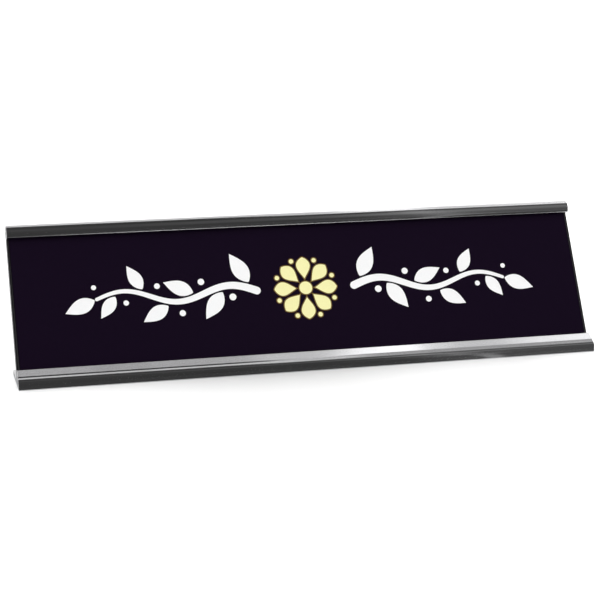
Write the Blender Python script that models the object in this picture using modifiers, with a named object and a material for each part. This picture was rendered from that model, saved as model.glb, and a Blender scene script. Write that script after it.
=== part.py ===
"""Desk nameplate: an extruded aluminium holder and the name insert that slides into its grooves.

Metres, +Z up. +X runs along the sign, +Y runs from its front to its back, and the origin is on
the desk, under the middle of the object's box.

The holder's section is drawn in two sets of axes. Points on the foot are (depth, height): depth
from the front edge, height from the desk. Points on the leaning part are (up, out): up the slope
from the lower lip's rear edge, and out towards the reader from that lip's inner face.
"""

import math

import bpy
from mathutils import Vector

# Holder
LENGTH = 0.2032
LEAN = math.radians(28.5)
FOOT_DEPTH = 0.0220
FOOT_WALL = 0.0020
PANEL_WALL = 0.0013
LIP_HEIGHT = 0.0056
LOWER_LIP_WALL = 0.0030
LIP_END_WALL = 0.0011
LIP_END_RAKE = 0.00035
UPPER_LEDGE_WIDTH = 0.00277
UPPER_LEDGE_SLANT = math.radians(35)
FACET_WIDTH = 0.00042
FACET_SLANT = math.radians(24)
LOWER_LEDGE_WIDTH = 0.00146
LOWER_LEDGE_SLANT = math.radians(37)
FRONT_CROWN = 0.00015
BEAD_RADIUS = 0.00285
BEAD_CENTRE_ABOVE_LIP = 0.0021

# Name insert
INSERT_HEIGHT = 0.0508
INSERT_THICKNESS = 0.0016
LOWER_COVER = 0.0024
UPPER_COVER = 0.0028

# Clearances of the insert in its grooves and at the holder's cut ends
FACE_GAP = 0.0003
FLOOR_GAP = 0.0003
TOP_GAP = 0.0005
END_SETBACK = 0.0001
INSERT_LENGTH = LENGTH - 2 * END_SETBACK

# Corner rounds
DESK_EDGE_ROUND = 0.0002
FOOT_END_ROUND = 0.0007
FOOT_FILLET = 0.0010
BACK_ROUND = 0.0015
LIP_EDGE_ROUND = 0.0002
LEDGE_END_ROUND = 0.0005
FACET_ROUND = 0.0001
SHOULDER_ROUND = 0.0020
BEAD_EDGE_ROUND = 0.0003
GROOVE_ROUND = 0.0002
INSERT_EDGE_ROUND = 0.0002

ARC_STEP = math.radians(7.5)

# Finishes
ALUMINIUM_COLOUR = (0.62, 0.62, 0.63)
ALUMINIUM_ROUGHNESS = 0.28
PLASTIC_COLOUR = (0.0070, 0.0037, 0.0103)
PLASTIC_ROUGHNESS = 0.45

# Axes and origin of the leaning part
UP = Vector((math.sin(LEAN), math.cos(LEAN)))
OUT = Vector((-math.cos(LEAN), math.sin(LEAN)))
LIP_REAR = Vector((LIP_HEIGHT * math.tan(LEAN) + LOWER_LIP_WALL / math.cos(LEAN), LIP_HEIGHT))

# Levels up the slope
INSERT_BOTTOM = -LOWER_COVER
INSERT_TOP = INSERT_BOTTOM + INSERT_HEIGHT
GROOVE_FLOOR = INSERT_BOTTOM - FLOOR_GAP
GROOVE_CEILING = INSERT_TOP + TOP_GAP
BEAD_LIP = INSERT_TOP - UPPER_COVER
BEAD_LEVEL = BEAD_LIP + BEAD_CENTRE_ABOVE_LIP
HOLDER_TOP = BEAD_LEVEL + BEAD_RADIUS
UPPER_LEDGE_FOOT = -LIP_END_RAKE - UPPER_LEDGE_WIDTH
FACET_FOOT = UPPER_LEDGE_FOOT - FACET_WIDTH
SHOULDER = FACET_FOOT - LOWER_LEDGE_WIDTH

# Offsets out of the slope
INSERT_FACE = -FACE_GAP
INSERT_BACK = INSERT_FACE - INSERT_THICKNESS
PANEL_FACE = INSERT_BACK - FACE_GAP
PANEL_BACK = PANEL_FACE - PANEL_WALL
UPPER_LEDGE_OUT = LIP_END_WALL + UPPER_LEDGE_WIDTH * math.tan(UPPER_LEDGE_SLANT)
FACET_OUT = UPPER_LEDGE_OUT + FACET_WIDTH * math.tan(FACET_SLANT)
SHOULDER_OUT = FACET_OUT + LOWER_LEDGE_WIDTH * math.tan(LOWER_LEDGE_SLANT)


def on_slope(up, out):
    """Returns the section point at a level up the slope and an offset out of it."""
    return LIP_REAR + UP * up + OUT * out


def meet(point, direction, height):
    """Returns the point where the line through point along direction is at that height."""
    return point + direction * ((height - point.y) / direction.y)


def arc(centre, radius, start, end):
    """Returns points on an arc of the section, from the start angle to the end angle."""
    steps = max(2, math.ceil(abs(end - start) / ARC_STEP))
    angles = (start + (end - start) * i / steps for i in range(steps + 1))
    return [centre + Vector((math.cos(a), math.sin(a))) * radius for a in angles]


def angle_of(vector):
    """Returns the direction of a section vector as an angle."""
    return math.atan2(vector.y, vector.x)


def turn(start, end, clockwise=False):
    """Returns end as an angle reached from start by turning one way."""
    sweep = (end - start) % math.tau
    return start + sweep - (math.tau if clockwise else 0)


def rounded_corner(before, corner, after, radius):
    """Returns the arc that rounds the corner between two straight stretches."""
    to_before = (before - corner).normalized()
    to_after = (after - corner).normalized()
    half_angle = to_before.angle(to_after) / 2
    bisector = (to_before + to_after).normalized()
    centre = corner + bisector * (radius / math.sin(half_angle))
    setback = radius / math.tan(half_angle)
    start = angle_of(corner + to_before * setback - centre)
    end = angle_of(corner + to_after * setback - centre)
    is_hollow = to_before.cross(to_after) > 0
    return arc(centre, radius, start, turn(start, end, is_hollow))


def rounded_path(corners):
    """Returns a path with its inner corners rounded. Corners are (point, radius) pairs."""
    path = [corners[0][0]]
    for (before, _), (corner, radius), (after, _) in zip(corners, corners[1:], corners[2:]):
        path += rounded_corner(before, corner, after, radius)
    return path + [corners[-1][0]]


def crowned(start, end, rise):
    """Returns the points between the ends of a shallow arc that rises to the path's right."""
    chord = end - start
    radius = chord.length ** 2 / (8 * rise) + rise / 2
    centre = (start + end) / 2 + Vector((-chord.y, chord.x)).normalized() * (radius - rise)
    first = angle_of(start - centre)
    return arc(centre, radius, first, turn(first, angle_of(end - centre)))[1:-1]


def bead_outline():
    """Returns the bead from its top, round its front, to the inner edge of its lip."""
    centre = on_slope(BEAD_LEVEL, INSERT_FACE)
    edge_up = BEAD_LIP + BEAD_EDGE_ROUND
    reach = BEAD_RADIUS - BEAD_EDGE_ROUND
    edge_out = INSERT_FACE + math.sqrt(reach ** 2 - (BEAD_LEVEL - edge_up) ** 2)
    edge_centre = on_slope(edge_up, edge_out)
    top = angle_of(UP)
    edge = turn(top, angle_of(edge_centre - centre))
    underside = turn(edge, angle_of(-UP))
    return (arc(centre, BEAD_RADIUS, top, edge)
            + arc(edge_centre, BEAD_EDGE_ROUND, edge, underside)[1:])


def holder_outline():
    """Returns the holder's closed section: over the bead, down to the lip, round the foot."""
    bead = bead_outline()
    shoulder = on_slope(SHOULDER, SHOULDER_OUT)
    front_edge = Vector((0, 0))
    front = crowned(shoulder, front_edge, FRONT_CROWN)
    grooves_and_ledges = rounded_path([
        (bead[-1], 0),
        (on_slope(BEAD_LIP, 0), LIP_EDGE_ROUND),
        (on_slope(GROOVE_CEILING, 0), GROOVE_ROUND),
        (on_slope(GROOVE_CEILING, PANEL_FACE), GROOVE_ROUND),
        (on_slope(GROOVE_FLOOR, PANEL_FACE), GROOVE_ROUND),
        (on_slope(GROOVE_FLOOR, 0), GROOVE_ROUND),
        (on_slope(0, 0), LIP_EDGE_ROUND),
        (on_slope(-LIP_END_RAKE, LIP_END_WALL), LEDGE_END_ROUND),
        (on_slope(UPPER_LEDGE_FOOT, UPPER_LEDGE_OUT), FACET_ROUND),
        (on_slope(FACET_FOOT, FACET_OUT), FACET_ROUND),
        (shoulder, SHOULDER_ROUND),
        (front[0], 0),
    ])
    foot_and_back = rounded_path([
        (front[-1], 0),
        (front_edge, DESK_EDGE_ROUND),
        (Vector((FOOT_DEPTH, 0)), FOOT_END_ROUND),
        (Vector((FOOT_DEPTH, FOOT_WALL)), FOOT_END_ROUND),
        (meet(on_slope(0, PANEL_BACK), UP, FOOT_WALL), FOOT_FILLET),
        (on_slope(HOLDER_TOP, PANEL_BACK), BACK_ROUND),
        (bead[0], 0),
    ])
    return bead + grooves_and_ledges[1:-1] + front + foot_and_back[1:-1]


def principled(name, colour, metallic, roughness):
    """Returns a material with one Principled shader."""
    material = bpy.data.materials.new(name)
    material.use_nodes = True
    shader = material.node_tree.nodes["Principled BSDF"]
    shader.inputs["Base Color"].default_value = (*colour, 1)
    shader.inputs["Metallic"].default_value = metallic
    shader.inputs["Roughness"].default_value = roughness
    material.diffuse_color = (*colour, 1)
    return material


def place(obj, collection, parent, material):
    """Puts an object in the collection and under the parent, with its material."""
    for other in obj.users_collection:
        other.objects.unlink(obj)
    collection.objects.link(obj)
    obj.parent = parent
    obj.data.materials.append(material)


def make_holder(section):
    """Returns the holder: its section extruded over the whole length."""
    curve = bpy.data.curves.new("holder", "CURVE")
    curve.dimensions = "2D"
    curve.fill_mode = "BOTH"
    curve.extrude = LENGTH / 2
    spline = curve.splines.new("POLY")
    spline.points.add(len(section) - 1)
    for point, (depth, height) in zip(spline.points, section):
        point.co = (depth, height, 0, 1)
    spline.use_cyclic_u = True
    holder = bpy.data.objects.new("holder", curve)
    holder.rotation_euler = (math.pi / 2, 0, math.pi / 2)
    return holder


def make_insert(middle):
    """Returns the name insert: a flat sheet with eased edges, centred on the given point."""
    bpy.ops.mesh.primitive_cube_add(size=1)
    insert = bpy.context.object
    insert.name = insert.data.name = "insert"
    insert.scale = (INSERT_LENGTH, INSERT_THICKNESS, INSERT_HEIGHT)
    bpy.ops.object.transform_apply(location=False, rotation=False, scale=True)
    easing = insert.modifiers.new("eased_edges", "BEVEL")
    easing.width = INSERT_EDGE_ROUND
    easing.segments = 2
    insert.location = (0, *middle)
    insert.rotation_euler.x = -LEAN
    return insert


def main():
    """Builds the nameplate."""
    for obj in list(bpy.data.objects):
        bpy.data.objects.remove(obj)
    parts = bpy.data.collections.new("desk_nameplate")
    bpy.context.scene.collection.children.link(parts)

    outline = holder_outline()
    depths = [point.x for point in outline]
    middle = (min(depths) + max(depths)) / 2
    section = [(point.x - middle, point.y) for point in outline]
    insert_middle = on_slope((INSERT_BOTTOM + INSERT_TOP) / 2, (INSERT_FACE + INSERT_BACK) / 2)

    sign = bpy.data.objects.new("desk_nameplate", None)
    parts.objects.link(sign)
    aluminium = principled("aluminium", ALUMINIUM_COLOUR, 1, ALUMINIUM_ROUGHNESS)
    black_plastic = principled("black_plastic", PLASTIC_COLOUR, 0, PLASTIC_ROUGHNESS)
    place(make_holder(section), parts, sign, aluminium)
    place(make_insert((insert_middle.x - middle, insert_middle.y)), parts, sign, black_plastic)


main()
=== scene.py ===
"""Looks of the desk nameplate: aluminium holder, printed insert and a plain studio."""

import logging
from collections.abc import Callable
from dataclasses import dataclass, field
from enum import Enum
from functools import reduce
from math import atan, atan2, ceil, copysign, cos, degrees, log2, pi, radians, sin, sqrt, tan, tau
from typing import Any

import bmesh
import bpy
from mathutils import Matrix, Vector


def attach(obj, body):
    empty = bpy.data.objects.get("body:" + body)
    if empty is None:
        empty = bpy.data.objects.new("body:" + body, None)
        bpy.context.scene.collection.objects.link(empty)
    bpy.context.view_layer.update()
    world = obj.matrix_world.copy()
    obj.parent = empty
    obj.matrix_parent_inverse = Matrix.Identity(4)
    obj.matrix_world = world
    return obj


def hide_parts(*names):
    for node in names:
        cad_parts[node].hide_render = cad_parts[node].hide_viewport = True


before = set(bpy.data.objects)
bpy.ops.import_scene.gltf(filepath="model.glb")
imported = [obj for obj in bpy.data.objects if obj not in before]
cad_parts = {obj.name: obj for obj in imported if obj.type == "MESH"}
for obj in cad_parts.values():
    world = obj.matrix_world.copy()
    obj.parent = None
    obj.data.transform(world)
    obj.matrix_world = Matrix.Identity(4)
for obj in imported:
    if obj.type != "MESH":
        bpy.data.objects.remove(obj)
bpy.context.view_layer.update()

log = logging.getLogger("desk_nameplate")

Colour = tuple[float, float, float]
Pair = tuple[float, float]
Spot = tuple[Vector, float, float]  # of a rib: its point, its heading and half the width there
Material = bpy.types.Material
Socket = bpy.types.NodeSocket

WHITE = (1.0, 1.0, 1.0)
MITRE_LIMIT = 0.5  # least squared length of two summed side normals, so sharp tips stay short
CLOUD_TOP = 0.85  # where in a noise the handling marks would start at a cover of nothing
CLOUD_CONTRAST = 4.0


class Body(Enum):
    """The two bodies that the pieces ride on."""

    HOLDER = "holder"
    INSERT = "insert"


class Slot(Enum):
    """The record's material slots."""

    ALUMINIUM = "aluminium"
    BLACK_PLASTIC = "black_plastic"


class Side(Enum):
    """The two mirrored halves of the printed ornament, as the sign of their direction along X."""

    LEFT = -1
    RIGHT = 1


# ---------------- outlines and solids


@dataclass(frozen=True)
class Slope:
    """Axes of the leaning part of the section: up the slope, and out of it towards the reader.

    Levels and offsets start at the rear edge of the lower lip's top.
    """

    lean: float = radians(28.5)
    lip_height: float = 0.0056
    lip_wall: float = 0.0030
    front_edge: float = -0.0165362

    @property
    def up(self) -> Vector:
        """Direction up the slope, as (y, z)."""
        return Vector((sin(self.lean), cos(self.lean)))

    @property
    def out(self) -> Vector:
        """Direction out of the slope, as (y, z)."""
        return Vector((-cos(self.lean), sin(self.lean)))

    def point(self, level: float, offset: float) -> Vector:
        """Returns the (y, z) of a point from its distances up the slope and out of it."""
        rear = self.front_edge + self.lip_height * tan(self.lean) + self.lip_wall / cos(self.lean)
        return Vector((rear, self.lip_height)) + self.up * level + self.out * offset


@dataclass(frozen=True)
class Corner:
    """A corner of an outline, with its round and how brightly its edge is polished."""

    point: Vector
    radius: float
    polish: float = 0.0


@dataclass
class Outline:
    """A closed outline, with the polish of the edge at each of its points."""

    points: list[Vector] = field(default_factory=list)
    polish: list[float] = field(default_factory=list)

    @classmethod
    def plain(cls, points: list[Vector]) -> "Outline":
        """Closes a row of points into an outline with no polish."""
        return cls(points, [0.0] * len(points))

    def add(self, points: list[Vector], polish: float = 0.0) -> None:
        """Adds a stretch of points, whose polish fades from its middle to both its ends."""
        self.points += points
        self.polish += [polish * sin(pi * i / max(1, len(points) - 1))
                        for i in range(len(points))]

    def add_corners(self, corners: list[Corner], step: float) -> None:
        """Adds the rounds of the corners between the first and the last of a row."""
        for before, corner, after in zip(corners, corners[1:], corners[2:]):
            self.add(round_off(before.point, corner, after.point, step), corner.polish)

    def inset(self, distance: float) -> list[Vector]:
        """Shrinks the outline.

        Args:
            distance: How far each side moves inwards. Below zero the outline grows.

        Returns:
            The moved points.
        """
        points = self.points
        turning = copysign(1.0, signed_area(points))
        moved = []
        for before, point, after in zip(points[-1:] + points, points, points[1:] + points[:1]):
            arriving = (point - before).normalized()
            leaving = (after - point).normalized()
            inward = Vector((-arriving.y, arriving.x)) + Vector((-leaving.y, leaving.x))
            reach = 2 * distance / max(inward.length ** 2, MITRE_LIMIT)
            moved.append(point + inward * turning * reach)
        return moved


def signed_area(points: list[Vector]) -> float:
    """Returns a closed outline's area, above zero where it runs anticlockwise."""
    return sum(a.cross(b) for a, b in zip(points, points[1:] + points[:1])) / 2


def angle_of(vector: Vector) -> float:
    """Returns the direction of a flat vector as an angle."""
    return atan2(vector.y, vector.x)


def direction(angle: float) -> Vector:
    """Returns the flat vector of length 1 that points at an angle."""
    return Vector((cos(angle), sin(angle)))


def across(angle: float) -> Vector:
    """Returns the flat vector of length 1 to the left of a heading."""
    return Vector((-sin(angle), cos(angle)))


def arc(centre: Vector, radius: float, start: float, end: float, step: float) -> list[Vector]:
    """Draws an arc between two angles, with no larger turn than step from point to point."""
    steps = max(2, ceil(abs(end - start) / step))
    return [centre + direction(start + (end - start) * i / steps) * radius
            for i in range(steps + 1)]


def round_off(before: Vector, corner: Corner, after: Vector, step: float) -> list[Vector]:
    """Rounds a corner between two straight stretches.

    Args:
        before: A point on the first stretch.
        corner: Where the stretches meet.
        after: A point on the second stretch.
        step: The largest turn between two points.

    Returns:
        The points of the round.
    """
    spot, radius = corner.point, corner.radius
    to_before, to_after = (before - spot).normalized(), (after - spot).normalized()
    half_angle = to_before.angle(to_after) / 2
    centre = spot + (to_before + to_after).normalized() * (radius / sin(half_angle))
    setback = radius / tan(half_angle)
    start = angle_of(spot + to_before * setback - centre)
    sweep = (angle_of(spot + to_after * setback - centre) - start) % tau
    if to_before.cross(to_after) > 0:
        sweep -= tau
    return arc(centre, radius, start, start + sweep, step)


def add_mesh(name: str, mesh: bmesh.types.BMesh, materials: list[Material]) -> bpy.types.Object:
    """Puts a mesh into the scene and frees it.

    Args:
        name: The object's name.
        mesh: Its mesh.
        materials: Its material slots.

    Returns:
        The object.
    """
    data = bpy.data.meshes.new(name)
    mesh.to_mesh(data)
    mesh.free()
    for material in materials:
        data.materials.append(material)
    item = bpy.data.objects.new(name, data)
    bpy.context.scene.collection.objects.link(item)
    return item


@dataclass
class SolidMaker:
    """Collects closed solids into one piece."""

    name: str
    mesh: bmesh.types.BMesh = field(default_factory=bmesh.new)

    def __post_init__(self) -> None:
        """Adds the layers for the polish of edges and for the grain's direction."""
        self.polish = self.mesh.verts.layers.float.new("edge_polish")
        self.grain = self.mesh.loops.layers.uv.new("grain")

    def extrude(self, outline: Outline, rings: list[Pair],
                place: Callable[[Vector, float], Vector], cap_slot: int = 0) -> None:
        """Adds an outline drawn out through rings and closed at both ends.

        Args:
            outline: The section.
            rings: (distance along, inset) of each ring.
            place: Puts a section point at a distance along into the row frame.
            cap_slot: The material slot of the two end faces.
        """
        loops = []
        for distance, inset in rings:
            points = outline.inset(inset) if inset else outline.points
            loop = [self.mesh.verts.new(place(point, distance)) for point in points]
            for vertex, polish in zip(loop, outline.polish):
                vertex[self.polish] = 1.0 if inset else polish
            loops.append(loop)
        around = [0.0]
        for a, b in zip(outline.points, outline.points[1:] + outline.points[:1]):
            around.append(around[-1] + (b - a).length)
        for low, high, (start, _), (end, _) in zip(loops, loops[1:], rings, rings[1:]):
            for i in range(len(low)):
                j = (i + 1) % len(low)
                face = self.mesh.faces.new((low[i], low[j], high[j], high[i]))
                face.smooth = True
                spots = ((i, start), (i + 1, start), (i + 1, end), (i, end))
                for corner, (k, along) in zip(face.loops, spots):
                    corner[self.grain].uv = (around[k], along)
        for loop in (loops[0], loops[-1]):
            self.mesh.faces.new(loop).material_index = cap_slot

    def finish(self, materials: list[Material], body: Body,
               weighted: bool = False) -> bpy.types.Object:
        """Closes the mesh and makes the piece.

        Args:
            materials: The piece's material slots.
            body: The body that it rides on.
            weighted: Whether large faces keep their own direction in the shading.

        Returns:
            The piece.
        """
        bmesh.ops.recalc_face_normals(self.mesh, faces=self.mesh.faces)
        piece = add_mesh(self.name, self.mesh, materials)
        if weighted:
            piece.modifiers.new("weighted_normals", "WEIGHTED_NORMAL").weight = 100
        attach(piece, body.value)
        log.info("%s: %d faces on %s", self.name, len(piece.data.polygons), body.value)
        return piece


# ---------------- finishes


@dataclass(frozen=True)
class Fade:
    """A smooth change of one number as another grows from low to high."""

    low: float
    high: float
    start: float = 0.0
    end: float = 1.0


class Graph:
    """Adds nodes to the node tree of a material, a world or a node group."""

    def __init__(self, owner: bpy.types.ID) -> None:
        """Empties the tree.

        Args:
            owner: The material, world or node group.
        """
        self.owner = self.tree = owner
        if not isinstance(owner, bpy.types.NodeTree):
            owner.use_nodes = True
            self.tree = owner.node_tree
        self.tree.nodes.clear()

    def add(self, kind: str, inputs: dict[str | int, Any] | None = None,
            **settings: Any) -> bpy.types.Node:
        """Adds a node.

        Args:
            kind: Its type.
            inputs: A value or a socket to link, by the input's name or number.
            settings: Its own properties.

        Returns:
            The node.
        """
        node = self.tree.nodes.new(kind)
        for name, value in settings.items():
            setattr(node, name, value)
        for key, value in (inputs or {}).items():
            if isinstance(value, Socket):
                self.tree.links.new(value, node.inputs[key])
            elif isinstance(value, tuple) and node.inputs[key].type == "RGBA":
                node.inputs[key].default_value = (*value, 1.0)
            else:
                node.inputs[key].default_value = value
        return node

    def put(self, kind: str, inputs: dict[str | int, Any] | None = None,
            output: str | int = 0, **settings: Any) -> Socket:
        """Adds a shader node of a kind and returns one of its outputs."""
        return self.add(f"ShaderNode{kind}", inputs, **settings).outputs[output]

    def place(self) -> Socket:
        """Returns where the surface is, in the row frame."""
        return self.put("TexCoord", output="Object")

    def axes(self, vector: Socket) -> Any:
        """Splits a vector into its X, Y and Z."""
        return self.add("ShaderNodeSeparateXYZ", {0: vector}).outputs

    def math(self, operation: str, *values: Any, clamp: bool = False) -> Socket:
        """Adds a Math node on numbers and sockets."""
        return self.put("Math", dict(enumerate(values)), operation=operation, use_clamp=clamp)

    def total(self, *values: Any) -> Socket:
        """Adds numbers up."""
        return reduce(lambda first, second: self.math("ADD", first, second), values)

    def product(self, *values: Any) -> Socket:
        """Multiplies numbers."""
        return reduce(lambda first, second: self.math("MULTIPLY", first, second), values)

    def apart(self, first: Any, second: Any) -> Socket:
        """Returns how far apart two numbers are."""
        return self.math("ABSOLUTE", self.math("SUBTRACT", first, second))

    def fade(self, value: Any, *fades: Fade) -> Socket:
        """Adds up what one or more fades make of a value."""
        return self.total(*(self.add(
            "ShaderNodeMapRange", {"Value": value, "From Min": fade.low, "From Max": fade.high,
                                   "To Min": fade.start, "To Max": fade.end},
            interpolation_type="SMOOTHSTEP").outputs["Result"] for fade in fades))

    def window(self, value: Any, *fades: Fade) -> Socket:
        """Multiplies what several fades make of a value."""
        return self.product(*(self.fade(value, fade) for fade in fades))

    def mix(self, factor: Any, first: Any, second: Any) -> Socket:
        """Mixes two colours."""
        return self.put("Mix", {0: factor, 6: first, 7: second}, data_type="RGBA", output=2)

    def mix_numbers(self, factor: Any, first: Any, second: Any) -> Socket:
        """Mixes two numbers."""
        return self.put("Mix", {0: factor, 2: first, 3: second}, data_type="FLOAT")

    def mix_shaders(self, factor: Any, first: Socket, second: Socket) -> Socket:
        """Mixes two shaders."""
        return self.put("MixShader", {0: factor, 1: first, 2: second})

    def effect(self, effect: "Effect", **values: float) -> Socket:
        """Puts in a shared effect, whose inputs are named in lower case."""
        inputs = {name.title(): value for name, value in values.items()}
        return self.put("Group", {"Coordinates": self.place(), **inputs},
                        node_tree=effect.group())

    def edge_polish(self) -> Socket:
        """Returns how brightly the piece's edges are polished."""
        return self.put("Attribute", attribute_name="edge_polish", output="Fac")

    def bump(self, height: Socket, depth: float) -> Socket:
        """Turns a height from 0 to 1 into a normal, where 1 is depth in metres."""
        return self.put("Bump", {"Height": height, "Distance": depth, "Strength": 1.0})

    def glow(self, level: Socket, strength: Any = 1.0) -> Socket:
        """Adds a shader that shines in a grey of the given level."""
        grey = self.put("CombineXYZ", {0: level, 1: level, 2: level})
        return self.put("Emission", {"Color": grey, "Strength": strength})

    def principled(self, inputs: dict[str, Any]) -> Material:
        """Adds the Principled shader and returns the finished material."""
        return self.show(self.put("BsdfPrincipled", inputs))

    def show(self, surface: Socket, kind: str = "Material") -> Any:
        """Adds the output of a material or a world and returns its owner."""
        self.add(f"ShaderNodeOutput{kind}", {"Surface": surface})
        return self.owner


class Effect(Enum):
    """Effects that several finishes share: each one's output, and its inputs with defaults."""

    LENGTHWISE_LINES = ("Lines", {"Fineness": 4000.0, "Waver": 5.0, "Detail": 3.0})
    HANDLING_MARKS = ("Marks", {"Scale": 45.0, "Cover": 0.4})
    FINE_TOOTH = ("Tooth", {"Fineness": 6000.0})

    def group(self) -> bpy.types.NodeTree:
        """Finds the effect's node group, and makes it when it is first asked for.

        Returns:
            The group.
        """
        name = self.name.lower()
        if name in bpy.data.node_groups:
            return bpy.data.node_groups[name]
        output, inputs = self.value
        tree = bpy.data.node_groups.new(name, "ShaderNodeTree")
        tree.interface.new_socket("Coordinates", in_out="INPUT", socket_type="NodeSocketVector")
        for key, value in inputs.items():
            tree.interface.new_socket(key, in_out="INPUT",
                                      socket_type="NodeSocketFloat").default_value = value
        tree.interface.new_socket(output, in_out="OUTPUT", socket_type="NodeSocketFloat")
        graph = Graph(tree)
        made = getattr(self, name)(graph, graph.add("NodeGroupInput").outputs)
        graph.add("NodeGroupOutput", {output: made})
        return tree

    @staticmethod
    def lengthwise_lines(graph: Graph, given: Any) -> Socket:
        """Makes fine lines that run along X, as a drawing die or a roller leaves them.

        Args:
            graph: The group's graph.
            given: Its inputs.

        Returns:
            The lines.
        """
        axes = graph.axes(given["Coordinates"])
        scales = {"X": given["Waver"], "Y": given["Fineness"], "Z": given["Fineness"]}
        stretched = graph.put("CombineXYZ", {
            axis: graph.product(axes[axis], scale) for axis, scale in scales.items()})
        return graph.put("TexNoise", {"Vector": stretched, "Scale": 1.0,
                                      "Detail": given["Detail"]})

    @staticmethod
    def handling_marks(graph: Graph, given: Any) -> Socket:
        """Makes faint, soft-edged smears where the sign has been touched.

        Args:
            graph: The group's graph.
            given: Its inputs.

        Returns:
            The smears.
        """
        cloud = graph.put("TexNoise", {
            "Vector": given["Coordinates"], "Scale": given["Scale"], "Detail": 4.0,
            "Distortion": 0.8})
        edge = graph.math("SUBTRACT", CLOUD_TOP, given["Cover"])
        return graph.math("MULTIPLY", graph.math("SUBTRACT", cloud, edge), CLOUD_CONTRAST,
                          clamp=True)

    @staticmethod
    def fine_tooth(graph: Graph, given: Any) -> Socket:
        """Makes an even, fine-grained roughness, the same in every direction."""
        return graph.put("TexNoise", {
            "Vector": given["Coordinates"], "Scale": given["Fineness"], "Detail": 2.0})


@dataclass(frozen=True)
class DrawnAluminium:
    """Bare drawn aluminium, satin across its die lines and clearer along them."""

    name: str = "drawn_aluminium"
    colour: Colour = (0.63, 0.63, 0.64)
    shade: Colour = (0.55, 0.55, 0.56)
    bright: Colour = (0.72, 0.72, 0.73)
    fine_share: float = 0.6
    contrast: Fade = Fade(0.36, 0.64)
    roughness: Fade = Fade(0.30, 0.70, 0.10, 0.16)
    smear: float = 0.05
    polished_roughness: float = 0.12
    anisotropy: float = 0.70
    line_depth: float = 0.0000010

    def build(self) -> Material:
        """Makes the material.

        Returns:
            The material.
        """
        graph = Graph(bpy.data.materials.new(self.name))
        fine = graph.effect(Effect.LENGTHWISE_LINES, fineness=5200.0, waver=9.0)
        broad = graph.effect(Effect.LENGTHWISE_LINES, fineness=1300.0, waver=2.5, detail=2.0)
        marks = graph.effect(Effect.HANDLING_MARKS, scale=38.0, cover=0.32)
        polish = graph.edge_polish()
        lines = graph.mix_numbers(self.fine_share, broad, fine)
        drawn = graph.mix(graph.fade(lines, self.contrast), self.shade, self.colour)
        touched = graph.math("MULTIPLY_ADD", marks, self.smear, graph.fade(lines, self.roughness))
        tangent = graph.put("Tangent", direction_type="UV_MAP", uv_map="grain")
        return graph.principled({
            "Base Color": graph.mix(polish, drawn, self.bright), "Metallic": 1.0,
            "Roughness": graph.mix_numbers(polish, touched, self.polished_roughness),
            "Anisotropic": self.anisotropy, "Tangent": tangent,
            "Normal": graph.bump(lines, self.line_depth)})


@dataclass(frozen=True)
class SawnAluminium:
    """The holder's sawn ends: duller, with a painted shade, and with the blade's curved marks."""

    name: str = "sawn_aluminium"
    # colour and shade kept darker than bare aluminium: a painted shade on the sawn ends
    colour: Colour = (0.46, 0.46, 0.47)
    shade: Colour = (0.34, 0.34, 0.35)
    blade_shift: Colour = (0.0, 0.03, 0.110)
    marks_per_metre: float = 1500.0
    blade_share: float = 0.5
    mark_depth: float = 0.000006
    metallic: float = 0.35
    roughness: Fade = Fade(0.2, 0.8, 0.49, 0.63)
    specular: float = 0.10

    def build(self) -> Material:
        """Makes the material.

        Returns:
            The material.
        """
        graph = Graph(bpy.data.materials.new(self.name))
        centred = graph.put("VectorMath", {0: graph.place(), 1: self.blade_shift}, operation="ADD")
        blade = graph.put("TexWave", {
            "Vector": centred, "Scale": self.marks_per_metre / tau, "Distortion": 1.4,
            "Detail": 2.0, "Detail Scale": 0.6},
            wave_type="RINGS", rings_direction="X", output="Fac")
        tooth = graph.effect(Effect.FINE_TOOTH, fineness=7000.0)
        marks = graph.mix_numbers(self.blade_share, tooth, blade)
        return graph.principled({
            "Base Color": graph.mix(marks, self.shade, self.colour),
            "Metallic": self.metallic, "Specular IOR Level": self.specular,
            "Roughness": graph.fade(marks, self.roughness),
            "Normal": graph.bump(marks, self.mark_depth)})


@dataclass(frozen=True)
class BlackSheet:
    """The insert's bare black plastic, at its margins and back, with a painted shade at its two
    ends.
    """

    name: str = "black_sheet"
    colour: Colour = (0.0150, 0.0135, 0.0160)
    worn: Colour = (0.0220, 0.0205, 0.0230)
    wear: Fade = Fade(0.35, 0.65, 0.3, 1.0)
    # the colour of the painted shade close to the sheet's two ends
    painted_shade_rim_colour: Colour = (0.0030, 0.0026, 0.0034)
    rim: Fade = Fade(0.10095, 0.10115)
    rolled_share: float = 0.3
    roughness: Fade = Fade(0.3, 0.7, 0.37, 0.47)
    smear: float = 0.10
    depth: float = 0.000004

    def build(self) -> Material:
        """Makes the material.

        Returns:
            The material.
        """
        graph = Graph(bpy.data.materials.new(self.name))
        rolled = graph.effect(Effect.LENGTHWISE_LINES, fineness=2200.0, waver=40.0, detail=2.0)
        marks = graph.effect(Effect.HANDLING_MARKS, scale=60.0, cover=0.36)
        tooth = graph.effect(Effect.FINE_TOOTH, fineness=5200.0)
        wear = graph.product(graph.edge_polish(), graph.fade(rolled, self.wear))
        surface = graph.mix_numbers(self.rolled_share, tooth, rolled)
        # painted shade: the sheet turns darker close to its two ends, by its distance from the
        # middle
        from_middle = graph.math("ABSOLUTE", graph.axes(graph.place())["X"])
        return graph.principled({
            "Base Color": graph.mix(graph.fade(from_middle, self.rim),
                                    graph.mix(wear, self.colour, self.worn), self.painted_shade_rim_colour),
            "Roughness": graph.math("MULTIPLY_ADD", marks, self.smear,
                                    graph.fade(surface, self.roughness)),
            "Normal": graph.bump(surface, self.depth)})


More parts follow.
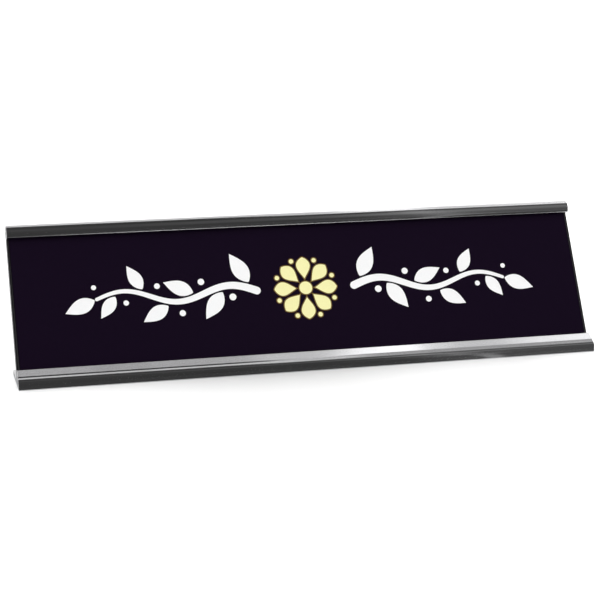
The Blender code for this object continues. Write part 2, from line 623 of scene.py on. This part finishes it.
@dataclass(frozen=True)
class Ink:
    """A printed, low-gloss colour."""

    name: str
    colour: Colour
    shade: Colour
    roughness: float = 0.45
    roughness_spread: float = 0.04
    contrast: Fade = Fade(0.35, 0.65)
    smear: float = 0.06
    specular: float = 0.06
    depth: float = 0.0000015

    def build(self) -> Material:
        """Makes the material.

        Returns:
            The material.
        """
        graph = Graph(bpy.data.materials.new(self.name))
        tooth = graph.effect(Effect.FINE_TOOTH, fineness=4200.0)
        marks = graph.effect(Effect.HANDLING_MARKS, scale=30.0, cover=0.34)
        rough = Fade(0.3, 0.7, self.roughness - self.roughness_spread,
                     self.roughness + self.roughness_spread)
        return graph.principled({
            "Base Color": graph.mix(graph.fade(tooth, self.contrast), self.shade, self.colour),
            "Roughness": graph.math("MULTIPLY_ADD", marks, self.smear, graph.fade(tooth, rough)),
            "Specular IOR Level": self.specular, "Normal": graph.bump(tooth, self.depth)})


# ---------------- the holder


@dataclass(frozen=True)
class Holder:
    """The leaning aluminium extrusion: foot, panel, lower lip with its ledge, and top bead."""

    slope: Slope = Slope()
    length: float = 0.2032
    foot_depth: float = 0.0220
    foot_wall: float = 0.0020
    panel_face: float = -0.0022
    panel_back: float = -0.0035
    groove_floor: float = -0.0027
    groove_ceiling: float = 0.0489
    lip_end_wall: float = 0.0011
    lip_end_rake: float = 0.00035
    upper_ledge_width: float = 0.00277
    upper_ledge_slant: float = radians(35)
    facet_width: float = 0.00055
    facet_slant: float = radians(29)
    lower_ledge_width: float = 0.00133
    lower_ledge_slant: float = radians(36.4)
    front_crown: float = 0.000146
    bead_lip: float = 0.0456
    bead_level: float = 0.0477
    bead_offset: float = -0.0003
    bead_radius: float = 0.002849
    bead_edge_round: float = 0.0003
    lip_edge_round: float = 0.0002
    ledge_end_round: float = 0.0005
    facet_round: float = 0.0001
    shoulder_round: float = 0.0020
    groove_round: float = 0.0002
    desk_edge_round: float = 0.0002
    foot_end_round: float = 0.0007
    foot_fillet: float = 0.0010
    back_round: float = 0.0015
    end_ease: float = 0.00010
    end_ease_start: float = 0.3
    arc_step: float = radians(4)
    crown_step: float = radians(2)

    def bead(self) -> tuple[list[Vector], list[Vector]]:
        """Draws the bead from its top round its front to its lip.

        Returns:
            The bead's points and those of the small round at its lower edge.
        """
        centre = self.slope.point(self.bead_level, self.bead_offset)
        edge_up = self.bead_lip + self.bead_edge_round
        reach = self.bead_radius - self.bead_edge_round
        edge_out = self.bead_offset + sqrt(reach ** 2 - (self.bead_level - edge_up) ** 2)
        edge_centre = self.slope.point(edge_up, edge_out)
        top = angle_of(self.slope.up)
        edge = top + (angle_of(edge_centre - centre) - top) % tau
        underside = edge + (angle_of(-self.slope.up) - edge) % tau
        return (arc(centre, self.bead_radius, top, edge, self.arc_step),
                arc(edge_centre, self.bead_edge_round, edge, underside, self.arc_step)[1:])

    def crowned_front(self, shoulder: Vector, front_edge: Vector) -> list[Vector]:
        """Draws the crowned front face of the lower lip.

        Args:
            shoulder: Its upper end.
            front_edge: Its lower end.

        Returns:
            The points between the two ends.
        """
        chord = front_edge - shoulder
        radius = chord.length ** 2 / (8 * self.front_crown) + self.front_crown / 2
        inwards = Vector((-chord.y, chord.x)).normalized()
        centre = (shoulder + front_edge) / 2 + inwards * (radius - self.front_crown)
        first = angle_of(shoulder - centre)
        last = first + (angle_of(front_edge - centre) - first) % tau
        return arc(centre, radius, first, last, self.crown_step)[1:-1]

    def ledges(self) -> list[Corner]:
        """Draws the lower lip's slanting top: upper ledge, steeper facet, lower ledge.

        Returns:
            The corners, down to the shoulder.
        """
        level, out = -self.lip_end_rake, self.lip_end_wall
        corners = [Corner(self.slope.point(level, out), self.ledge_end_round)]
        for width, slant, edge_round, polish in (
                (self.upper_ledge_width, self.upper_ledge_slant, self.facet_round, 0.3),
                (self.facet_width, self.facet_slant, self.facet_round, 0.0),
                (self.lower_ledge_width, self.lower_ledge_slant, self.shoulder_round, 0.3)):
            level -= width
            out += width * tan(slant)
            corners.append(Corner(self.slope.point(level, out), edge_round, polish))
        return corners

    def outline(self) -> Outline:
        """Draws the section: over the bead, down the grooves, round lip, foot and back.

        Returns:
            The section.
        """
        at = self.slope.point
        front_edge = Vector((self.slope.front_edge, 0))
        rear_edge = front_edge + Vector((self.foot_depth, 0))
        foot_top = at(0, self.panel_back)
        foot_top += self.slope.up * ((self.foot_wall - foot_top.y) / self.slope.up.y)
        bead, bead_edge = self.bead()
        ledges = self.ledges()
        front = self.crowned_front(ledges[-1].point, front_edge)
        section = Outline()
        section.add(bead)
        section.add(bead_edge, polish=1.0)
        section.add_corners([
            Corner(bead_edge[-1], 0),
            Corner(at(self.bead_lip, 0), self.lip_edge_round, polish=0.5),
            *(Corner(at(level, offset), self.groove_round) for level, offset in (
                (self.groove_ceiling, 0), (self.groove_ceiling, self.panel_face),
                (self.groove_floor, self.panel_face), (self.groove_floor, 0))),
            Corner(at(0, 0), self.lip_edge_round, polish=1.0),
            *ledges,
            Corner(front[0], 0),
        ], self.arc_step)
        section.add(front)
        section.add_corners([
            Corner(front[-1], 0),
            Corner(front_edge, self.desk_edge_round, polish=1.0),
            Corner(rear_edge, self.foot_end_round, polish=0.6),
            Corner(rear_edge + Vector((0, self.foot_wall)), self.foot_end_round, polish=0.6),
            Corner(foot_top, self.foot_fillet),
            Corner(at(self.bead_level + self.bead_radius, self.panel_back), self.back_round,
                   polish=0.4),
            Corner(bead[0], 0),
        ], self.arc_step)
        return section

    def build(self, drawn: Material, sawn: Material) -> None:
        """Draws the section out over the holder's length, with eased ends.

        Args:
            drawn: The finish of its long faces.
            sawn: The finish of its two ends.
        """
        half = self.length / 2
        start = self.end_ease * self.end_ease_start
        ends = [(half, self.end_ease), (half - start, start), (half - self.end_ease, 0.0)]
        rings = [(-distance, inset) for distance, inset in ends] + ends[::-1]
        maker = SolidMaker("holder_extrusion")
        maker.extrude(self.outline(), rings, lambda p, x: Vector((x, p.x, p.y)), cap_slot=1)
        holder = maker.finish([drawn, sawn], Body.HOLDER, weighted=True)
        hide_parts("holder")


# ---------------- the insert and its print


@dataclass(frozen=True)
class Ornament:
    """A generic printed ornament: a rosette with a leafy branch to each side.

    Its sizes are in the sheet's own plane, from the middle of the part of it that shows.
    """

    petals: int = 8
    petal_start: float = 0.0034
    petal_end: float = 0.0112
    petal_half_width: float = 0.00245
    petal_fullest: float = 0.62
    petal_blunt: float = 0.75
    disc_radius: float = 0.0023
    bud_radius: float = 0.00080
    bud_reach: float = 0.0107
    keyline: float = 0.00035
    rim: float = 0.00022
    branch_start: float = 0.0175
    branch_end: float = 0.0730
    branch_wave: float = 0.0024
    branch_wave_length: float = 0.0370
    stem_near: float = 0.00140
    stem_far: float = 0.00060
    stem_end_step: float = radians(20)
    leaves: int = 6
    first_leaf: float = 0.35
    leaf_near: float = 0.0122
    leaf_far: float = 0.0088
    leaf_share: float = 0.24
    leaf_fullest: float = 0.42
    leaf_turn: float = radians(42)
    leaf_gap: float = 0.00080
    end_leaf: float = 0.0110
    berry_radius: float = 0.00125
    berry_taper: float = 0.35
    berry_reach: float = 0.0042
    berry_lead: float = 0.56
    round_points: int = 28

    def disc(self, centre: Vector, radius: float) -> Outline:
        """Draws a round dot."""
        step = tau / self.round_points
        return Outline.plain(arc(centre, radius, 0, tau - step, step))

    def blade(self, foot: Vector, heading: float, length: float, half_width: float,
              fullest: float, blunt: float = 1.0) -> Outline:
        """Draws a leaf or a petal.

        Args:
            foot: Where it starts.
            heading: The angle that it points in.
            length: Its length.
            half_width: Half its greatest width.
            fullest: The share of its length at which it is widest.
            blunt: Below 1 its ends are rounder.

        Returns:
            Its outline.
        """
        power = -1 / log2(fullest)
        rib = []
        for i in range(self.round_points + 1):
            t = (1 - cos(pi * i / self.round_points)) / 2
            width = half_width * sin(pi * t ** power) ** blunt
            rib.append((foot + direction(heading) * (t * length), heading, width))
        upper, lower = self.flanks(rib)
        return Outline.plain(upper + lower[-2:0:-1])

    @staticmethod
    def flanks(rib: list[Spot]) -> tuple[list[Vector], list[Vector]]:
        """Returns the points at half the width to the left and to the right of a rib."""
        return ([point + across(heading) * width for point, heading, width in rib],
                [point - across(heading) * width for point, heading, width in rib])

    def leaf(self, foot: Vector, heading: float, length: float) -> Outline:
        """Draws a leaf of the given length, from its foot along its heading."""
        return self.blade(foot, heading, length, length * self.leaf_share, self.leaf_fullest)

    def rosette(self) -> list[Outline]:
        """Draws the flower in the middle.

        Returns:
            Its disc, its petals and the buds between them.
        """
        shapes = [self.disc(Vector((0, 0)), self.disc_radius)]
        for k in range(self.petals):
            angle = pi / 2 + tau * k / self.petals
            shapes.append(self.blade(direction(angle) * self.petal_start, angle,
                                     self.petal_end - self.petal_start, self.petal_half_width,
                                     self.petal_fullest, self.petal_blunt))
            bud = direction(angle + pi / self.petals) * self.bud_reach
            shapes.append(self.disc(bud, self.bud_radius))
        return shapes

    def stem_point(self, t: float) -> Spot:
        """Follows a branch's stem.

        Args:
            t: How far along, from 0 to 1.

        Returns:
            The stem's middle, its heading and half its width.
        """
        reach = self.branch_end - self.branch_start
        turn = tau * reach * t / self.branch_wave_length
        point = Vector((self.branch_start + reach * t, self.branch_wave * sin(turn)))
        rise = self.branch_wave * tau / self.branch_wave_length * cos(turn)
        return point, atan(rise), self.stem_near + (self.stem_far - self.stem_near) * t

    def stem(self) -> Outline:
        """Draws the tapered, waving stem.

        Returns:
            Its outline.
        """
        count = self.round_points * 2
        rib = [self.stem_point(i / count) for i in range(count + 1)]
        upper, lower = self.flanks(rib)
        quarter = pi / 2
        point, heading, width = rib[-1]
        far_end = arc(point, width, heading + quarter, heading - quarter, self.stem_end_step)
        point, heading, width = rib[0]
        near_end = arc(point, width, heading - quarter, heading - 3 * quarter,
                       self.stem_end_step)
        return Outline.plain(upper[1:-1] + far_end + lower[-2:0:-1] + near_end)

    def branch(self, side: Side) -> list[Outline]:
        """Draws one leafy branch.

        Args:
            side: Which way it grows.

        Returns:
            Its stem, leaves and berries.
        """
        shapes = [self.stem()]
        for k in range(self.leaves):
            hand = 1 if k % 2 == 0 else -1
            t = (k + self.first_leaf) / self.leaves
            point, heading, width = self.stem_point(t)
            foot = point + across(heading) * hand * (width + self.leaf_gap)
            length = self.leaf_near + (self.leaf_far - self.leaf_near) * t
            shapes.append(self.leaf(foot, heading + hand * self.leaf_turn, length))
            point, heading, _ = self.stem_point(t + self.berry_lead / self.leaves)
            berry = point - across(heading) * hand * self.berry_reach
            shapes.append(self.disc(berry, self.berry_radius * (1 - self.berry_taper * t)))
        tip, heading, _ = self.stem_point(1)
        shapes.append(self.leaf(tip + direction(heading) * self.leaf_gap, heading,
                                self.end_leaf))
        for shape in shapes:
            shape.points = [Vector((point.x * side.value, point.y)) for point in shape.points]
        return shapes


@dataclass(frozen=True)
class Insert:
    """The sliding name sheet, its printed film and the ornament on it."""

    slope: Slope = Slope()
    ornament: Ornament = Ornament()
    plastic: BlackSheet = BlackSheet()
    black: Ink = Ink("black_ink", (0.0022, 0.0016, 0.0028), (0.0018, 0.0013, 0.0024))
    violet: Ink = Ink("near_black_violet_ink", (0.0062, 0.0024, 0.0100), (0.0056, 0.0020, 0.0092))
    white: Ink = Ink("white_ink", (0.93, 0.93, 0.93), (0.90, 0.90, 0.90), roughness=0.42)
    yellow: Ink = Ink("pale_yellow_ink", (0.92, 0.89, 0.46), (0.89, 0.85, 0.43), roughness=0.42)
    gold: Ink = Ink("gold_brown_ink", (0.170, 0.105, 0.030), (0.150, 0.092, 0.026))
    length: float = 0.2030
    height: float = 0.0508
    thickness: float = 0.0016
    bottom: float = -0.0024
    face: float = -0.0003
    corner_round: float = 0.0005
    corner_step: float = radians(15)
    edge_ease: float = 0.0002
    ease_steps: int = 4
    film_thickness: float = 0.00005
    ink_thickness: float = 0.00002
    left_margins: Pair = (0.00095, 0.00055)
    right_margins: Pair = (0.00080, 0.00080)
    film_border: float = 0.00022
    shown_middle: float = 0.0228

    def place(self, point: Vector, offset: float) -> Vector:
        """Puts a point (along X, level up the slope) of the sheet's plane into the row frame."""
        section = self.slope.point(point.y, offset)
        return Vector((point.x, section.x, section.y))

    def place_print(self, point: Vector, offset: float) -> Vector:
        """Puts a point of the ornament, from the middle of what shows, into the row frame."""
        return self.place(point + Vector((0, self.shown_middle)), offset)

    def sheet_rings(self) -> list[Pair]:
        """Lists the rings of the sheet, with its rounded edges.

        Returns:
            (offset, inset) of each ring, from its back to its face.
        """
        low, high, ease = self.face - self.thickness, self.face, self.edge_ease
        turns = [pi / 2 * i / self.ease_steps for i in range(self.ease_steps + 1)]
        rise = [(ease * (1 - cos(a)), ease * (1 - sin(a))) for a in turns]
        return ([(low + up, inset) for up, inset in rise]
                + [(high - up, inset) for up, inset in reversed(rise)])

    def panel(self, left: Pair, right: Pair, low: float, high: float, corner: float) -> Outline:
        """Draws a four-sided panel in the sheet's plane, with rounded corners.

        Args:
            left: X of its left side, at its bottom and its top.
            right: The same of its right side.
            low: Its bottom's level.
            high: Its top's level.
            corner: Its corners' round.

        Returns:
            Its outline.
        """
        corners = [Vector((left[0], low)), Vector((right[0], low)),
                   Vector((right[1], high)), Vector((left[1], high))]
        outline = Outline()
        outline.add_corners([Corner(p, corner) for p in [corners[-1], *corners, corners[0]]],
                            self.corner_step)
        return outline

    def build_sheet(self, plastic: Material) -> None:
        """Makes the plastic sheet.

        Args:
            plastic: Its finish.
        """
        half = self.length / 2
        outline = self.panel((-half, -half), (half, half), self.bottom,
                             self.bottom + self.height, self.corner_round)
        maker = SolidMaker("insert_sheet")
        maker.extrude(outline, self.sheet_rings(), self.place)
        sheet = maker.finish([plastic], Body.INSERT, weighted=True)
        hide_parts("insert")

    def build_film(self, border: Material, ground: Material) -> float:
        """Makes the printed film with its dark cut border.

        Args:
            border: The finish of its border.
            ground: The finish of its printed ground.

        Returns:
            The offset of the print's face.
        """
        half = self.length / 2
        low = self.bottom + self.edge_ease
        high = self.bottom + self.height - self.edge_ease
        face = self.face
        for name, inset, depth, material in (
                ("print_film", 0.0, self.film_thickness, border),
                ("printed_ground", self.film_border, self.ink_thickness, ground)):
            left = tuple(-half + margin + inset for margin in self.left_margins)
            right = tuple(half - margin - inset for margin in self.right_margins)
            maker = SolidMaker(name)
            maker.extrude(self.panel(left, right, low, high, self.edge_ease),
                          [(face, 0.0), (face + depth, 0.0)], self.place)
            maker.finish([material], Body.INSERT)
            face += depth
        return face

    def build_print(self, name: str, shapes: list[Outline], face: float, ink: Material,
                    edge: float, edge_ink: Material) -> None:
        """Prints shapes, each on a slightly larger copy of itself in another ink.

        Args:
            name: The piece's name.
            shapes: The shapes.
            face: The offset of the face under them.
            ink: Their ink.
            edge: How far the copy stands out all round.
            edge_ink: The copy's ink.
        """
        under, over = SolidMaker(f"{name}_outline"), SolidMaker(name)
        middle = face + self.ink_thickness
        for shape in shapes:
            wide = Outline(shape.inset(-edge), shape.polish)
            under.extrude(wide, [(face, 0.0), (middle, 0.0)], self.place_print)
            over.extrude(shape, [(middle, 0.0), (middle + self.ink_thickness, 0.0)],
                         self.place_print)
        under.finish([edge_ink], Body.INSERT)
        over.finish([ink], Body.INSERT)

    def build(self) -> None:
        """Makes the sheet, its film and its ornament."""
        black, violet, white, yellow, gold = (ink.build() for ink in (
            self.black, self.violet, self.white, self.yellow, self.gold))
        self.build_sheet(self.plastic.build())
        face = self.build_film(black, violet)
        branches = [shape for side in Side for shape in self.ornament.branch(side)]
        self.build_print("printed_branches", branches, face, white, self.ornament.rim, black)
        self.build_print("printed_rosette", self.ornament.rosette(), face, yellow,
                         self.ornament.keyline, gold)


# ---------------- the studio


def seen_directly(graph: Graph) -> Socket:
    """Returns 1 for rays of sight, reflection and transmission, and 0 for rays of light."""
    path = graph.add("ShaderNodeLightPath").outputs
    return graph.math("ADD", graph.total(path["Is Camera Ray"], path["Is Glossy Ray"]),
                      path["Is Transmission Ray"], clamp=True)


@dataclass(frozen=True)
class DarkCard:
    """The card in front of and over the sign, a painted reflection: dark in front, glowing
    overhead.

    It bends over the sign about the X axis, and its lowest part lies on the desk in front. Its
    shades lie over three numbers: the share of a direction that points along X, the turn about
    X from the front horizon in degrees, and the reach in front of the sign.
    """

    name: str = "dark_card"
    radius: float = 1.6
    front_edge: float = -0.0165
    height: float = 0.0002
    desk_reaches: tuple[float, ...] = (0.0004, 0.02, 0.05, 0.15, 0.5)
    desk_taper: float = 0.12
    side_turns: range = range(-72, 73, 3)
    top_turns: range = range(0, 151, 3)

    front: Fade = Fade(0.27, 0.34, 0.063, 0.106)
    near: Fade = Fade(0.03, 0.06, 1.0, 0.0)
    far: Fade = Fade(0.10, 0.16, 0.70, 1.0)
    glow_shares: tuple[Fade, ...] = (Fade(0.05, 0.20, 0.02, 0.045), Fade(0.22, 0.31, 0.0, 0.085))
    glow_turns: tuple[Fade, ...] = (Fade(15, 52), Fade(61, 71, 1.0, 0.0))
    strip_share: float = 0.3589
    strip_bend: float = -0.00051
    strip_edge: Fade = Fade(0.004, 0.014, 1.0, 0.0)
    strip_end: Fade = Fade(70, 84, 1.0, 0.0)
    strip_levels: Pair = (0.31, 0.20)
    desk_strip_least: float = 0.0650
    desk_strip_slope: float = 0.40
    desk_strip_start: float = 0.0525
    desk_spread: float = 0.09
    desk_scale: float = 0.30

    edge: Fade = Fade(0.19, 0.225, 111, 95)
    edge_width: Fade = Fade(0.20, 0.26, 3, 8)
    bright_glow: tuple[Fade, ...] = (Fade(0.235, 0.27, 0.90, 1.16), Fade(0.345, 0.375, 0.0, 0.25))
    ledge_turns: tuple[Fade, ...] = (Fade(105, 108.5), Fade(117, 119, 1.0, 0.0))
    ledge_patches: tuple[Fade, ...] = (Fade(0.275, 0.305, 0.0, 0.40),
                                       Fade(0.335, 0.362, 0.0, -0.75),
                                       Fade(0.385, 0.418, 0.0, 0.80))
    hot_turn: Fade = Fade(99, 107)
    hot_share: float = 0.298
    hot_edge: Fade = Fade(0.018, 0.042, 0.85, 0.0)
    band_turns: tuple[Fade, ...] = (Fade(113, 115.5), Fade(119, 122, 1.0, 0.0))
    band: Fade = Fade(0.20, 0.26, 1.27, 0.25)
    steep: Fade = Fade(0.30, 0.38, 1.0, 0.0)
    steep_desk: tuple[Fade, ...] = (Fade(-0.05, 0.10, 0.36, 2.4), Fade(0.33, 0.38, 1.0, 0.6))

    def shape(self, mesh: bmesh.types.BMesh) -> None:
        """Makes the card's shape.

        Args:
            mesh: The mesh to fill.
        """
        sides = [radians(turn) for turn in self.side_turns]
        grid = []
        for reach in self.desk_reaches:
            spread = (self.radius - reach) * self.desk_taper + reach
            grid.append([(sin(a) * spread, self.front_edge - reach, self.height)
                         for a in sides])
        for turn in map(radians, self.top_turns):
            grid.append([Vector((sin(a), -cos(a) * cos(turn),
                                 cos(a) * sin(turn) + self.height)) * self.radius
                         for a in sides])
        rows = [[mesh.verts.new(spot) for spot in row] for row in grid]
        for low, high in zip(rows, rows[1:]):
            for corners in zip(low, low[1:], high[1:], high):
                mesh.faces.new(corners)

    def shade(self, graph: Graph) -> Socket:
        """Makes the card's glow, the painted reflections. Steeply from above, the desk part is
        pale.

        Args:
            graph: The graph of its material.

        Returns:
            Its surface.
        """
        place = graph.place()
        spot = graph.axes(place)
        way = graph.axes(graph.put("VectorMath", {0: place}, operation="NORMALIZE"))
        reach = graph.math("MULTIPLY", spot["Y"], -1.0)
        rise = graph.math("ARCTAN2", way["Z"], graph.math("MULTIPLY", way["Y"], -1.0))
        turn = graph.math("MULTIPLY", rise, degrees(1))
        on_desk = graph.math("LESS_THAN", spot["Z"], 2 * self.height)
        crossing = graph.math("MAXIMUM", self.desk_strip_least, graph.math(
            "MULTIPLY_ADD", reach, self.desk_strip_slope, self.desk_strip_start))
        slide = graph.math("DIVIDE", graph.math("SUBTRACT", spot["X"], crossing),
                           graph.math("ADD", reach, self.desk_spread))
        desk_share = graph.math("MULTIPLY_ADD", slide, self.desk_scale, self.strip_share)
        share = graph.mix_numbers(on_desk, way["X"], desk_share)

        # the dark part, with a faint glow and a thin strip of light across it
        front = graph.product(graph.fade(share, self.front), graph.math(
            "MAXIMUM", graph.fade(reach, self.far), graph.fade(reach, self.near)))
        glow = graph.product(graph.fade(share, *self.glow_shares),
                             graph.window(turn, *self.glow_turns))
        bend = graph.math("MULTIPLY_ADD", turn, self.strip_bend, self.strip_share)
        strip = graph.product(graph.fade(graph.apart(share, bend), self.strip_edge),
                              graph.fade(turn, self.strip_end),
                              graph.mix_numbers(on_desk, *self.strip_levels))

        # the bright glow, with patches and a hot spot that paint highlights on the ledge, and a
        # darker band
        ledge = graph.product(graph.window(turn, *self.ledge_turns),
                              graph.fade(share, *self.ledge_patches))
        hot = graph.product(graph.fade(turn, self.hot_turn),
                            graph.fade(graph.apart(share, self.hot_share), self.hot_edge))
        bright_glow = graph.mix_numbers(graph.window(turn, *self.band_turns),
                                  graph.total(graph.fade(share, *self.bright_glow), ledge, hot),
                                  graph.fade(share, self.band))

        past = graph.math("DIVIDE", graph.math("SUBTRACT", turn, graph.fade(share, self.edge)),
                          graph.fade(share, self.edge_width))
        level = graph.mix_numbers(graph.fade(past, Fade(-1, 1)),
                                  graph.total(front, strip, glow), bright_glow)
        facing = graph.put("LayerWeight", {0: 0.5}, output="Facing")
        desk_light = graph.product(on_desk, graph.fade(facing, self.steep))
        return graph.glow(graph.mix_numbers(desk_light, level,
                                            graph.window(share, *self.steep_desk)))


@dataclass(frozen=True)
class LowCard:
    """A glowing grey strip over the lower rail's right half, a painted reflection on its shoulder.

    Its face is its underside. From above nothing of it shows.
    """

    name: str = "low_card"
    left: float = -0.016
    right: float = 0.104
    front: float = -0.0154
    rear: float = -0.0127
    height: float = 0.0086
    left_fade: float = 0.020
    skew: float = 10.0
    levels: Pair = (0.30, 0.66)

    def shape(self, mesh: bmesh.types.BMesh) -> None:
        """Adds the strip's one face to a mesh."""
        mesh.faces.new([mesh.verts.new((x, y, self.height)) for x, y in (
            (self.left, self.front), (self.left, self.rear),
            (self.right, self.rear), (self.right, self.front))])

    def shade(self, graph: Graph) -> Socket:
        """Makes the strip's glowing grey, which paints the shoulder's reflection.

        Args:
            graph: The graph of its material.

        Returns:
            Its surface.
        """
        spot = graph.axes(graph.place())
        grey = graph.glow(graph.fade(spot["Y"], Fade(self.front, self.rear, *self.levels)))
        clear = graph.put("BsdfTransparent")
        above = graph.put("NewGeometry", output="Backfacing")
        skewed = graph.math("MULTIPLY_ADD", graph.math("SUBTRACT", self.front, spot["Y"]),
                            self.skew, spot["X"])
        shown = graph.product(graph.math("SUBTRACT", 1.0, above),
                              graph.fade(skewed, Fade(self.left, self.left + self.left_fade)))
        return graph.mix_shaders(shown, clear, grey)


@dataclass(frozen=True)
class Floor:
    """The pale floor, which keeps the sign's shadow and is white outside it."""

    name: str = "floor"
    radius: float = 14.0
    sides: int = 96
    albedo: float = 0.60
    shine: float = 0.21
    # painted light: more glow towards the sign's two ends, which lightens its shadow there
    painted_light_along: tuple[Fade, ...] = (Fade(-0.095, -0.020, 0.21, 0.0),
                                     Fade(-0.005, 0.050, 0.0, 0.14),
                                     Fade(0.070, 0.100, 0.0, 0.14))
    shine_away: Fade = Fade(0.15, 0.50, 0.0, 0.40)

    def shape(self, mesh: bmesh.types.BMesh) -> None:
        """Adds the floor's round face to a mesh."""
        bmesh.ops.create_circle(mesh, cap_ends=True, segments=self.sides, radius=self.radius)

    def shade(self, graph: Graph) -> Socket:
        """Makes the matte grey, and a glow for rays of sight, with painted light near the sign's
        ends.

        Args:
            graph: The graph of its material.

        Returns:
            Its surface.
        """
        matte = graph.put("BsdfDiffuse", {"Color": (self.albedo,) * 3})
        place = graph.place()
        away = graph.put("VectorMath", {0: place}, operation="LENGTH", output="Value")
        # the glow: painted light near the sign's two ends, more glow farther from the sign, and an
        # even base
        level = graph.total(graph.fade(graph.axes(place)["X"], *self.painted_light_along),
                            graph.fade(away, self.shine_away), self.shine)
        shine = graph.glow(level, seen_directly(graph))
        return graph.put("AddShader", {0: matte, 1: shine})


@dataclass(frozen=True)
class Studio:
    """A plain white sweep under soft light, with glowing cards that paint the metal's reflections.
    """

    world_level: float = 0.20
    key_power: float = 152.0
    key_distance: float = 3.0
    key_elevation: float = radians(52)
    key_size: Pair = (8.6, 1.06)
    fill_strength: float = 2.30
    fill_elevation: float = radians(50)
    fill_spread: float = radians(80)

    def build_world(self) -> None:
        """Makes a world that is white to the eye and in reflections, and lights plainly."""
        graph = Graph(bpy.data.worlds.new("studio"))
        plain, white = (graph.put("Background", {"Color": WHITE, "Strength": level})
                        for level in (self.world_level, 1.0))
        bpy.context.scene.world = graph.show(
            graph.mix_shaders(seen_directly(graph), plain, white), kind="World")

    @staticmethod
    def hang(lamp: bpy.types.Light, where: Vector, **settings: Any) -> None:
        """Hangs a lamp that looks at the sign and shows in no reflection.

        Args:
            lamp: The lamp.
            where: Its (y, z).
            settings: Its own properties.
        """
        for name, value in settings.items():
            setattr(lamp, name, value)
        item = bpy.data.objects.new(lamp.name, lamp)
        item.location = (0, *where)
        item.rotation_euler = item.location.to_track_quat("Z", "Y").to_euler()
        item.visible_glossy = False
        bpy.context.scene.collection.objects.link(item)
        log.info("%s: lamp in the studio", lamp.name)

    @staticmethod
    def put_up(part: Floor | DarkCard | LowCard, mirrored_only: bool) -> None:
        """Puts up the floor or a card.

        Args:
            part: What to put up.
            mirrored_only: Whether only reflections show it.
        """
        mesh = bmesh.new()
        part.shape(mesh)
        graph = Graph(bpy.data.materials.new(part.name))
        item = add_mesh(part.name, mesh, [graph.show(part.shade(graph))])
        if mirrored_only:
            for kind in ("camera", "diffuse", "transmission", "volume_scatter", "shadow"):
                setattr(item, f"visible_{kind}", False)
        log.info("%s: in the studio", part.name)

    def build(self) -> None:
        """Makes the world, the floor, the cards, a long lamp behind and a broad one in front."""
        self.build_world()
        self.put_up(Floor(), mirrored_only=False)
        length, width = self.key_size
        self.hang(bpy.data.lights.new("key", "AREA"),
                  direction(self.key_elevation) * self.key_distance,
                  energy=self.key_power, shape="RECTANGLE", size=length, size_y=width)
        self.hang(bpy.data.lights.new("fill", "SUN"), direction(pi - self.fill_elevation),
                  energy=self.fill_strength, angle=self.fill_spread)
        # the cards glow only in reflections: painted reflections on the metal
        for card in (DarkCard(), LowCard()):
            self.put_up(card, mirrored_only=True)


@dataclass(frozen=True)
class Viewpoint:
    """The camera, where the photograph was taken from."""

    location: tuple[float, float, float] = (-0.139454, -0.544688, 0.140937)
    heading: float = radians(14.129)
    dip: float = radians(12.003)
    roll: float = radians(-0.328)
    lens: float = 98.86
    sensor: float = 36.0
    nearest: float = 0.01

    def build(self) -> None:
        """Makes the scene's camera."""
        forward = Vector((sin(self.heading) * cos(self.dip),
                          cos(self.heading) * cos(self.dip), -sin(self.dip)))
        level = Vector((cos(self.heading), -sin(self.heading), 0))
        upright = level.cross(forward)
        right = level * cos(self.roll) + upright * sin(self.roll)
        up = upright * cos(self.roll) - level * sin(self.roll)
        camera = bpy.data.cameras.new("camera")
        camera.lens = self.lens
        camera.sensor_width = self.sensor
        camera.clip_start = self.nearest
        item = bpy.data.objects.new("camera", camera)
        item.matrix_world = (Matrix.Translation(self.location)
                             @ Matrix((right, up, -forward)).transposed().to_4x4())
        bpy.context.scene.collection.objects.link(item)
        bpy.context.scene.camera = item


def main() -> None:
    """Builds the sign's pieces and its studio."""
    logging.basicConfig(level=logging.INFO, format="%(message)s")
    Viewpoint().build()
    Holder().build(DrawnAluminium().build(), SawnAluminium().build())
    Insert().build()
    Studio().build()
    bpy.context.scene.view_settings.view_transform = "Standard"
    bpy.context.view_layer.update()


if __name__ == "__main__":
    main()
